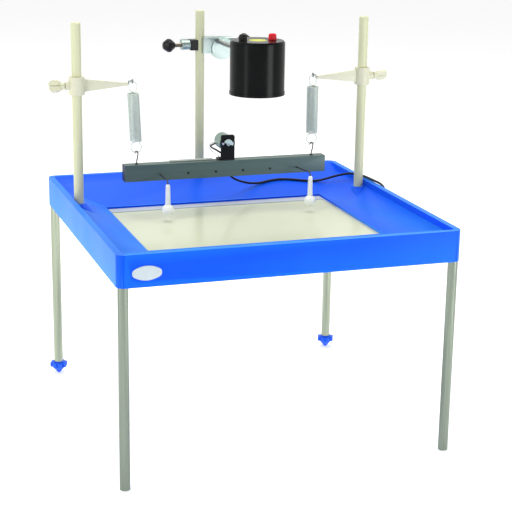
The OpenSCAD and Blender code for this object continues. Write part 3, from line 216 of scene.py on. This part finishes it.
# nearly opaque cream-green pane: the shaded floor seen through the clear glass is painted into its colour
GLASS_WITH_PAINTED_FLOOR = surface("window_glass_painted_shaded_floor", (0.64, 0.68, 0.49), 0.17, tone=0.02, tone_scale=3, grain=0.0,
                rough_var=0.03, specular=0.35, alpha=0.86)
LENS = surface("lamp_glass", srgb(214, 226, 204), 0.06, tone=0.02, grain=0.0, rough_var=0.02, alpha=0.3)
CLEAR = surface("bulb_glass", srgb(240, 236, 220), 0.08, tone=0.02, grain=0.0, rough_var=0.02, alpha=0.4)
FLOOR = surface("floor_pale", (0.9, 0.9, 0.9), 0.9, tone=0.01, grain=0.0, specular=0.1)
FLOOR.node_tree.nodes["Principled BSDF"].inputs["Emission Color"].default_value = (1, 1, 1, 1)
FLOOR.node_tree.nodes["Principled BSDF"].inputs["Emission Strength"].default_value = 0.4


def make_piece(name, bm, material, smooth=True, angle=38):
    """Object from a bmesh that is in millimetres."""
    bmesh.ops.recalc_face_normals(bm, faces=bm.faces[:])
    bmesh.ops.scale(bm, vec=(MM, MM, MM), verts=bm.verts[:])
    mesh = bpy.data.meshes.new(name)
    bm.to_mesh(mesh)
    bm.free()
    obj = bpy.data.objects.new(name, mesh)
    bpy.context.scene.collection.objects.link(obj)
    mesh.materials.append(material)
    if smooth:
        mesh.shade_smooth()
        mesh.set_sharp_from_angle(angle=math.radians(angle))
    return obj


def body_of(node):
    return nodes[node]["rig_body"]


def stand_for(obj, *names):
    """The piece rides like the first of these nodes and hides them all."""
    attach(obj, body_of(names[0]))
    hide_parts(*names)


def tube(bm, points, radius, sides=12):
    """Adds a round tube along points to bm; each ring is carried over from the last."""
    pts = [Vector(p) for p in points]
    n = len(pts)
    dirs = [(pts[min(i + 1, n - 1)] - pts[max(i - 1, 0)]).normalized() for i in range(n)]
    side = dirs[0].orthogonal().normalized()
    rings = []
    for p, d in zip(pts, dirs):
        side = (side - d * side.dot(d)).normalized()
        other = d.cross(side)
        rings.append([bm.verts.new(p + (side * math.cos(a) + other * math.sin(a)) * radius)
                      for a in (2 * math.pi * k / sides for k in range(sides))])
    for a, b in zip(rings, rings[1:]):
        for k in range(sides):
            bm.faces.new((a[k], a[(k + 1) % sides], b[(k + 1) % sides], b[k]))
    bm.faces.new(list(reversed(rings[0])))
    bm.faces.new(rings[-1])


def lathe(bm, profile, origin, axis, steps):
    """Adds a solid of revolution: profile is (radius, height) from one end to the other."""
    axis = Vector(axis).normalized()
    side = axis.orthogonal().normalized()
    other = axis.cross(side)
    origin = Vector(origin)
    rings = []
    for r, h in profile:
        if r < 1e-6:
            rings.append([bm.verts.new(origin + axis * h)])
            continue
        rings.append([bm.verts.new(origin + axis * h + (side * math.cos(a) + other * math.sin(a)) * r)
                      for a in (2 * math.pi * k / steps for k in range(steps))])
    for a, b in zip(rings, rings[1:]):
        for k in range(steps):
            j = (k + 1) % steps
            quad = [a[k % len(a)], a[j % len(a)], b[j % len(b)], b[k % len(b)]]
            quad = [v for i, v in enumerate(quad) if v not in quad[:i]]
            if len(quad) > 2:
                bm.faces.new(quad)
    return rings


def soften(profile, radius, steps=4):
    """Rounds the inner corners of a polyline of (r, h) points."""
    out = [profile[0]]
    for a, b, c in zip(profile, profile[1:], profile[2:]):
        va, vc = Vector(a) - Vector(b), Vector(c) - Vector(b)
        r = min(radius, va.length * 0.45, vc.length * 0.45)
        if r < 1e-4 or va.angle(vc) > 3.05:
            out.append(b)
            continue
        p, q = Vector(b) + va.normalized() * r, Vector(b) + vc.normalized() * r
        for k in range(steps + 1):
            t = k / steps
            out.append(tuple(p * (1 - t) ** 2 + Vector(b) * 2 * t * (1 - t) + q * t ** 2))
    out.append(profile[-1])
    return [tuple(p) for p in out]


def carry(node, material, width=0.5, segments=2, angle=30, keep=None, corner=None, corner_r=0.0,
          move=None, inner=None):
    """A copy of a CAD node with rounded edges.  keep picks the edges by their two ends, and
    corner picks those that get the larger radius corner_r first.  move shifts points, and
    inner is a test on the middle of a face and the material that such faces get."""
    bm = bmesh.new()
    bm.from_mesh(nodes[node].data)
    bmesh.ops.remove_doubles(bm, verts=bm.verts[:], dist=2e-6)
    bmesh.ops.dissolve_limit(bm, angle_limit=math.radians(0.6), verts=bm.verts[:], edges=bm.edges[:],
                             use_dissolve_boundaries=False)
    if move:
        for v in bm.verts:
            v.co = move(v.co / MM) * MM
    if corner:
        picked = [e for e in bm.edges if corner(*(v.co / MM for v in e.verts))]
        bmesh.ops.bevel(bm, geom=picked, offset=corner_r * MM, segments=6, profile=0.5, affect="EDGES")
    weight = bm.edges.layers.float.new("bevel_weight_edge")
    for edge in bm.edges:
        if len(edge.link_faces) == 2 and edge.calc_face_angle(0) > math.radians(angle):
            edge[weight] = 1.0 if keep is None or keep(*(v.co / MM for v in edge.verts)) else 0.0
            edge.smooth = edge[weight] > 0
    mesh = bpy.data.meshes.new(node + "_skin")
    bm.to_mesh(mesh)
    bm.free()
    obj = bpy.data.objects.new(node + "_skin", mesh)
    bpy.context.scene.collection.objects.link(obj)
    mesh.materials.clear()
    mesh.materials.append(material)
    if inner:
        mesh.materials.append(inner[1])
    for face in mesh.polygons:
        face.use_smooth = True
        if inner and inner[0](face.center / MM):
            face.material_index = 1
    mod = obj.modifiers.new("bevel", "BEVEL")
    mod.width = width * MM
    mod.segments = segments
    mod.limit_method = "WEIGHT"
    mod.miter_outer = "MITER_ARC"
    normal = obj.modifiers.new("normals", "WEIGHTED_NORMAL")
    normal.keep_sharp = True
    normal.weight = 80
    stand_for(obj, node)


def paint(names, material):
    for name in names:
        for s in nodes[name].material_slots:
            s.material = material


# ---------------------------------------------------------------- lead
# The route repeats the source's points.  It is one lead made of two pieces: the first
# runs between beam and arms, the second between arms and basin.
ROUTE = [
    (12, 118, 392), (12, 122, 392), (14, 130, 389), (20, 138, 382), (29, 147, 373), (42, 158, 364),
    (58, 170, 356.5), (77, 182, 350), (98, 192, 347.2), (119, 199, 348.6), (141, 202, 349.4),
    (164, 198, 348.2), (186, 191, 346.4), (206, 188, 346), (222, 184, 349.5), (234, 175, 355),
    (245, 161, 361), (254, 146, 365.4), (262, 130, 366.6), (267, 113, 366.6), (269, 95, 366.5),
    (270, 77, 366.5), (272, 60, 366), (275, 48, 362), (275.6, 42, 354), (275.2, 40, 344),
    (274.4, 40, 332)]
CORD_D = 4.0
JOIN = 7        # point of the route where the second piece starts
COIL_PITCH = 4.5
COIL_TURNS = 6
COIL_R = 22.0
COIL_X, COIL_Z, HANG_Y, COIL_END = 274.4, 320.0, 40.0, 12.0
COIL_OUTER = COIL_R + COIL_TURNS / 4 * COIL_PITCH
COIL_Y = HANG_Y - COIL_OUTER


def spline(p, i, t):
    a, b, c, d = (Vector(p[min(max(k, 0), len(p) - 1)]) for k in (i - 1, i, i + 1, i + 2))
    return 0.5 * (2 * b + (c - a) * t + (2 * a - 5 * b + 4 * c - d) * t ** 2
                  + (3 * b - a - 3 * c + d) * t ** 3)


def coil_point(turn):
    half = COIL_TURNS / 2
    a = -2 * math.pi * turn
    climb = min(1, max(0, (turn - half + 0.25) / 0.5))
    r = COIL_OUTER - (turn if turn < half else COIL_TURNS - turn) * COIL_PITCH
    return Vector((COIL_X + climb * COIL_PITCH, COIL_Y + r * math.cos(a), COIL_Z + r * math.sin(a)))


def build_lead():
    steps, coil_steps = 4, 32
    start = Vector(ROUTE[0])
    first = [start, start + Vector((0, 1.5, 0))]
    first += [spline(ROUTE, i, k / steps) for i in range(1, JOIN) for k in range(steps)]
    first.append(Vector(ROUTE[JOIN]))
    rest = [spline(ROUTE, i, k / steps) for i in range(JOIN, len(ROUTE) - 1) for k in range(steps)]
    rest += [Vector((COIL_X, HANG_Y, COIL_Z + COIL_END * (3 - k) / 3)) for k in range(3)]
    rest += [coil_point(k / coil_steps) for k in range(COIL_TURNS * coil_steps + 1)]
    rest += [Vector((COIL_X + COIL_PITCH, HANG_Y, COIL_Z - COIL_END * k / 3)) for k in (1, 2, 3)]
    made = []
    for name, path in (("lead_first", first), ("lead_rest", rest)):
        bm = bmesh.new()
        tube(bm, path, CORD_D / 2, 12)
        made.append(make_piece(name, bm, CORD, angle=60))
    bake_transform(made[0])
    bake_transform(made[1])
    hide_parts("lead")
    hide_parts("lead", "lead_coil")


build_lead()

# ---------------------------------------------------------------- springs
ARM_Z = 548.5
EYE_R, EYE_WIRE = 3.0, 2.0
ARM_EYE_X, ARM_EYE_Y, ARM_EYE_Z = 157.5, 95.0, ARM_Z + 4.6
ROD_Y = 98.0
BEAM_X, HOOK_SPAN, BEAM_TOP = 4.0, 310.0, 414.0
BEAM_EYE_Z = BEAM_TOP + 19.0
SPRING_R, SPRING_WIRE, TURNS, TURN_STEPS = 9.4, 1.6, 44, 18
REST = EYE_R - EYE_WIRE / 2 - SPRING_WIRE / 2 - 0.35
LOOP_HIGH, LOOP_LOW = ARM_EYE_Z - REST, BEAM_EYE_Z + REST
SPAN = 16.8             # from the far side of a ring to the coil, as in the CAD
DROP = SPRING_WIRE + 0.5
LEAVE = math.radians(-48)   # where the wire leaves the coil for the ring


def spring_end(ring_r, straight):
    """Ring and crossing from the free end to the coil; height SPAN is the far side of the ring."""
    pts = []
    for k in range(27):
        turn = -90 - 325 * (26 - k) / 26
        a = math.radians(turn)
        lift = straight if -360 < turn < -180 else 0
        pts.append(Vector((ring_r * math.cos(a), 0, SPAN - ring_r - straight + lift + ring_r * math.sin(a))))
    base = pts[-1].z
    coil = [Vector((SPRING_R * math.cos(LEAVE + d), SPRING_R * math.sin(LEAVE + d), -DROP))
            for d in (0, 0.3)]
    knots = [pts[-2], pts[-1], Vector((2.4, -1.2, base * 0.7 - DROP * 0.3)),
             Vector((3.9, -4.2, base * 0.3 - DROP * 0.7)), Vector((4.9, -6.9, -DROP)), coil[0], coil[1]]
    for i in range(1, 5):
        pts += [spline(knots, i, k / 5) for k in range(1 if i == 1 else 0, 5)]
    return pts


def build_spring(name, node, top, low):
    upper, lower = spring_end(6.4, 4.0), spring_end(9.0, 0.0)
    hi = LOOP_HIGH - SPAN - DROP
    lo = LOOP_LOW + SPAN + DROP
    sweep = 2 * math.pi * TURNS - 2 * LEAVE
    count = round(sweep / (2 * math.pi) * TURN_STEPS)
    path = [Vector((q.x, q.y, q.z + LOOP_HIGH - SPAN)) for q in upper]
    for k in range(count + 1):
        a = LEAVE + sweep * k / count
        path.append(Vector((SPRING_R * math.cos(a), SPRING_R * math.sin(a),
                            hi + (lo - hi) * k / count)))
    path += [Vector((q.x, -q.y, LOOP_LOW + SPAN - q.z)) for q in reversed(lower)]
    placed = []
    for q in path:
        t = (q.z - LOOP_LOW) / (LOOP_HIGH - LOOP_LOW)
        placed.append(q + Vector((low[0] + (top[0] - low[0]) * t,
                                  low[1] + (top[1] - low[1]) * t, 0)))
    bm = bmesh.new()
    tube(bm, placed, SPRING_WIRE / 2, 8)
    obj = make_piece(name, bm, SPRING, angle=60)
    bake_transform(obj)
    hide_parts(node)


build_spring("left_spring_wire", "left_spring", (-ARM_EYE_X, ARM_EYE_Y),
             (BEAM_X - HOOK_SPAN / 2, ROD_Y))
build_spring("right_spring_wire", "right_spring", (ARM_EYE_X, ARM_EYE_Y),
             (BEAM_X + HOOK_SPAN / 2, ROD_Y))


def build_hooks():
    """Open hooks on the beam: a shank that leans to the right and curls over to the left."""
    bm = bmesh.new()
    turn = math.radians(50)
    for x in (BEAM_X - HOOK_SPAN / 2, BEAM_X + HOOK_SPAN / 2):
        def at(u, z):
            return Vector((x + u * math.cos(turn), ROD_Y - u * math.sin(turn), z))
        knots = [at(0, BEAM_TOP - 5), at(0, BEAM_TOP - 1), at(0.1, BEAM_TOP + 3), at(1.0, BEAM_TOP + 8),
                 at(2.3, BEAM_TOP + 13), at(EYE_R, BEAM_EYE_Z - 1)]
        path = [spline(knots, i, k / 4) for i in range(5) for k in range(4)]
        path += [at(EYE_R * math.cos(a), BEAM_EYE_Z + EYE_R * math.sin(a))
                 for a in (math.radians(210 * k / 16) for k in range(17))]
        tube(bm, path, EYE_WIRE / 2, 12)
        for z in (BEAM_TOP, BEAM_TOP - 4):
            lathe(bm, soften([(0, 0), (2.5, 0), (2.5, 2), (0, 2)], 0.5, 3), (x, ROD_Y, z), Z, 24)
    stand_for(make_piece("beam_hooks", bm, HOOK, angle=50), "beam_eyes")


build_hooks()

# ---------------------------------------------------------------- basin and window
WIN_X, WIN_Y = 193.0, 142.0                     # half sizes of the window
RIM_Z, LEDGE_Z, SKIRT_Z = 364.0, 332.0, 315.0   # top of the rim, window's edge, foot of the wall
TRAY_HALF, CORNER_R, SOFT_R = 270.0, 8.0, 13.0
SEAL_LAP, SEAL_OUT, SEAL_BACK = 2.0, 12.0, 24.0
SEAL_LOW, SEAL_HIGH = 328.05, 328.9


def basin_edge(a, b):
    """Edges of the basin that are rounded in the moulding."""
    if abs(a.z - b.z) >= 0.05:
        return False
    far_x, far_y = max(abs(a.x), abs(b.x)), max(abs(a.y), abs(b.y))
    if a.z > RIM_Z - 0.1:
        return True
    if a.z < SKIRT_Z + 0.1:
        return max(far_x, far_y) > TRAY_HALF - 1
    return abs(a.z - LEDGE_Z) < 0.1 and far_x < WIN_X + 1 and far_y < WIN_Y + 1


def soft_corner(p):
    """Moves a point of the rounded outer corners onto a larger radius."""
    c = TRAY_HALF - CORNER_R
    if min(abs(p.x), abs(p.y)) < c - 0.01:
        return p
    mid = Vector((math.copysign(c, p.x), math.copysign(c, p.y)))
    off = p.xy - mid
    if abs(off.length - CORNER_R) > 0.1:
        return p
    mid = Vector((math.copysign(TRAY_HALF - SOFT_R, p.x), math.copysign(TRAY_HALF - SOFT_R, p.y)))
    q = mid + off.normalized() * SOFT_R
    return Vector((q.x, q.y, p.z))


def build_seal():
    """Seal round the window; its strip at the back shows wider than the others."""
    in_x, front, back = WIN_X - SEAL_LAP, SEAL_LAP - WIN_Y, WIN_Y - SEAL_BACK
    out_x, out_y = WIN_X + SEAL_OUT, WIN_Y + SEAL_OUT
    inner = [(-in_x, front), (in_x, front), (in_x, back), (-in_x, back)]
    outer = [(-out_x, -out_y), (out_x, -out_y), (out_x, out_y), (-out_x, out_y)]
    bm = bmesh.new()
    rows = [[bm.verts.new((x, y, z)) for x, y in ring]
            for z in (SEAL_LOW, SEAL_HIGH) for ring in (outer, inner)]
    for k in range(4):
        j = (k + 1) % 4
        for a, b in ((0, 1), (1, 3), (3, 2), (2, 0)):
            bm.faces.new((rows[a][k], rows[a][j], rows[b][j], rows[b][k]))
    stand_for(make_piece("seal_strip", bm, SEAL, False), "pane_seal")


carry("tray", BLUE, 1.4, 3, keep=basin_edge, move=soft_corner)
build_seal()
# the pane gets the glass with the painted shaded floor
paint(["glass_pane"], GLASS_WITH_PAINTED_FLOOR)
carry("pane_frame", GREY, 0.8, 2)
carry("frame_screws", SCREW, 0.3, 2)
carry("badge_plate", BADGE, 0.45, 3)

# ---------------------------------------------------------------- legs, rods
# front legs get the painted-shade copy of the steel, rear legs the painted-light copy
paint(["front_left_leg", "front_right_leg"], STEEL_FRONT_SHADED)
paint(["rear_left_leg", "rear_right_leg"], STEEL_REAR_LIT)
carry("leg_plugs", GREY, 0.4, 2)
paint(["foot_inserts"], BLACK)
carry("left_foot", KNOB_BLUE, 1.1, 3)
carry("right_foot", KNOB_BLUE, 1.1, 3)
for rod in ("left_rod", "right_rod", "back_rod"):
    carry(rod, CREAM_ROD, 0.7, 2, angle=30)

# ---------------------------------------------------------------- arms
carry("left_arm", CREAM, 0.9, 3)
carry("right_arm", CREAM, 0.9, 3)
carry("left_wing_screw", CREAM, 1.6, 4)
carry("right_wing_screw", CREAM, 1.6, 4)
paint(["left_arm_eye", "right_arm_eye"], BRIGHT)

# ---------------------------------------------------------------- beam and motor
BORE_Y, BORE_LOW, BORE_HIGH = 8.1, 387.9, 412.1     # just outside the beam's bore
HOLES, HOLE_PITCH, HOLE_MID_X, HOLE_Z = 4, 48.3, 8.0, 396.0
# the thin black rings round the holes are painted shade
HOLE_R, SHADE_RING_R, SHADE_RING_T = 1.25, 2.1, 0.15
BEAM_FRONT = ROD_Y - 10


def build_hole_shade_rings():
    """Black rings round the small holes in the front of the beam: painted shade at the holes."""
    bm = bmesh.new()
    for hole in range(HOLES):
        lathe(bm, [(HOLE_R, 0), (SHADE_RING_R, 0), (SHADE_RING_R, SHADE_RING_T), (HOLE_R, SHADE_RING_T), (HOLE_R, 0)],
              (HOLE_MID_X + (hole - (HOLES - 1) / 2) * HOLE_PITCH, BEAM_FRONT, HOLE_Z), -Y, 24)
    edges = make_piece("beam_hole_painted_shade", bm, BLACK, angle=50)
    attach(edges, body_of("beam"))


# faces inside the beam's bore get the black moulding: painted shade inside the tube, seen through the holes
carry("beam", BEAM, 0.9, 3, keep=lambda a, b: abs(a.x - b.x) > 300,
      inner=(lambda c: abs(c.y - ROD_Y) < BORE_Y and BORE_LOW < c.z < BORE_HIGH, BLACK))
carry("beam_ends", BLACK, 0.6, 2)
build_hole_shade_rings()
carry("cable_strip", STRIP, 0.5, 2)
carry("motor_bracket", BLACK_METAL, 0.7, 3, corner=lambda a, b: a.z > 456 and b.z > 456
      and abs(a.x - b.x) < 0.1 and abs(a.y - b.y) > 2, corner_r=3.5)
carry("bracket_screws", SCREW, 0.3, 2)
carry("motor", CAN, 1.4, 4)
paint(["motor_shaft"], BRIGHT)
carry("weight", WEIGHT, 0.5, 3)
carry("left_wire", HOOK, 0.2, 1)
carry("right_wire", HOOK, 0.2, 1)
carry("left_dipper", WHITE, 0.5, 2)
carry("right_dipper", WHITE, 0.5, 2)
carry("cord_gland", CORD, 0.4, 2)

# The two leads of the motor repeat the source's points, from the axis and the rear of the motor.
LEAD_AT = Vector((6, 131, 442))
BLACK_LEAD = [(-8, -2, -5.7), (-8, 1, -6), (-11, 3, -7.5), (-16, 1, -9), (-20, -4, -9.5), (-18.5, -8, -12),
              (-12, -10, -15.5), (-6, -13, -19.5), (-4, -17, -20.5), (-2.5, -21.5, -21), (-2, -25, -22.3),
              (-2, -26, -23.5), (-2, -26, -25)]
WHITE_LEAD = [(8, -2, -5), (8, 1.5, -5.2), (5, 5, -5.6), (-3, 6.5, -5.6), (-12, 6.5, -5.6), (-18, 2.5, -7),
              (-23.5, -4, -10), (-22, -8, -14), (-18, -10.5, -18), (-15, -14, -20.5), (-13.5, -19, -21.5),
              (-12.5, -24, -21.8), (-12.5, -26.5, -23), (-12.5, -26.5, -25)]


def build_motor_lead(name, points, radius, material):
    bm = bmesh.new()
    path = [LEAD_AT + spline(points, i, k / 4) for i in range(len(points) - 1) for k in range(4)]
    tube(bm, path + [LEAD_AT + Vector(points[-1])], radius)
    stand_for(make_piece(name, bm, material, angle=60), "motor_leads")


build_motor_lead("motor_lead_black", BLACK_LEAD, 1.5, CORD)
build_motor_lead("motor_lead_white", WHITE_LEAD, 0.8, LEAD_WHITE)

# ---------------------------------------------------------------- lamp and clamp
carry("clamp_head", CAST, 1.0, 3)
carry("clamp_pad", BLACK, 0.8, 2)


def build_knob(node, start, out, y, z, stem):
    """Ribbed knob of two blunt cones on a bare screw; out is -1 to the left, 1 to the right."""
    bm = bmesh.new()
    ribs, per = 14, 8
    profile = soften([(0, 0), (4.5, 0), (12, 9), (12, 13), (5.5, 22), (0, 22)], 2.0, 4)
    rings = lathe(bm, profile, (start, y, z), X * out, ribs * per)
    for ring, (r, h) in zip(rings, profile):
        depth = 0.9 * max(0.0, 1 - abs(h - 11) / 8)
        for k, v in enumerate(ring):
            wave = 0.5 - 0.5 * math.cos(2 * math.pi * k / per)
            away = v.co - Vector((v.co.x, y, z))
            if away.length > 1:
                v.co -= away.normalized() * depth * wave
    stand_for(make_piece(node + "_knob", bm, BLACK, angle=50), node)
    bm = bmesh.new()
    lathe(bm, soften([(0, -stem), (3.5, -stem), (3.5, 1), (0, 1)], 0.5, 3), (start, y, z), X * out, 32)
    stand_for(make_piece(node + "_stem", bm, STEM, angle=50), node)


KNOB_GAP, CLAMP_Y, CLAMP_Z, LAMP_ROD_Z = 12.0, 243.0, 590.0, 597.0
build_knob("rod_clamp_screw", -33 - KNOB_GAP, -1, CLAMP_Y, CLAMP_Z, 29.7)
build_knob("lamp_clamp_screw", 57 + KNOB_GAP, 1, CLAMP_Y - 4, LAMP_ROD_Z, 34.7)
paint(["lamp_rod"], ROD_STEEL)
carry("lamp_housing", LAMP_BLACK, 0.8, 3)
carry("lamp_cap", LAMP_BLACK, 1.4, 4, angle=25)
paint(["lamp_label"], YELLOW)
paint(["lamp_base"], LAMP_BLACK)
paint(["lamp_glass"], LENS)
paint(["bulb_holder"], WHITE)
paint(["bulb"], CLEAR)
paint(["terminal_posts"], BRASS)
carry("black_terminal", BLACK, 0.4, 2)
carry("red_terminal", RED, 0.4, 2)
paint(["coil_tie"], BLACK)
carry("lead_plug", BLACK, 0.6, 3)


# ---------------------------------------------------------------- stage
def area(name, at, aim, size, power, height=None):
    light = bpy.data.lights.new(name, "AREA")
    light.size = size
    if height:
        light.shape = "RECTANGLE"
        light.size_y = height
    light.energy = power
    obj = bpy.data.objects.new(name, light)
    obj.location = at
    obj.rotation_euler = (Vector(aim) - Vector(at)).to_track_quat("-Z", "Y").to_euler()
    obj.visible_camera = False
    bpy.context.scene.collection.objects.link(obj)


def build_stage():
    bm = bmesh.new()
    bmesh.ops.create_grid(bm, x_segments=1, y_segments=1, size=20000)
    floor = make_piece("floor", bm, FLOOR, False)
    floor.location.z = -0.0005
    # white behind and above the object, darker on the side of the camera
    world = bpy.data.worlds.new("studio")
    world.use_nodes = True
    tree = world.node_tree
    coord = tree.nodes.new("ShaderNodeTexCoord")
    split = tree.nodes.new("ShaderNodeSeparateXYZ")
    fade = tree.nodes.new("ShaderNodeMapRange")
    for name, value in (("From Min", -0.7), ("From Max", 0.4), ("To Min", 0.06), ("To Max", 0.95)):
        fade.inputs[name].default_value = value
    tree.links.new(coord.outputs["Generated"], split.inputs[0])
    tree.links.new(split.outputs["Y"], fade.inputs["Value"])
    tree.links.new(fade.outputs["Result"], tree.nodes["Background"].inputs["Strength"])
    tree.nodes["Background"].inputs["Color"].default_value = (1, 1, 1, 1)
    bpy.context.scene.world = world
    area("key", (-2.6, -1.4, 2.2), (0, 0, 0.4), 1.2, 38)
    area("top", (0.2, 0.6, 3.0), (0, 0, 0.3), 2.0, 58)
    # two upright strips give the lamp and the tubes their long highlights
    area("strip_left", (-1.16, -0.52, 0.55), (0.03, 0.014, 0.55), 0.3, 2.6, 1.0)
    area("strip_right", (0.8, -1.03, 0.55), (0.03, 0.014, 0.55), 0.5, 9.0, 1.0)
    bpy.context.scene.view_settings.view_transform = "Standard"


build_stage()
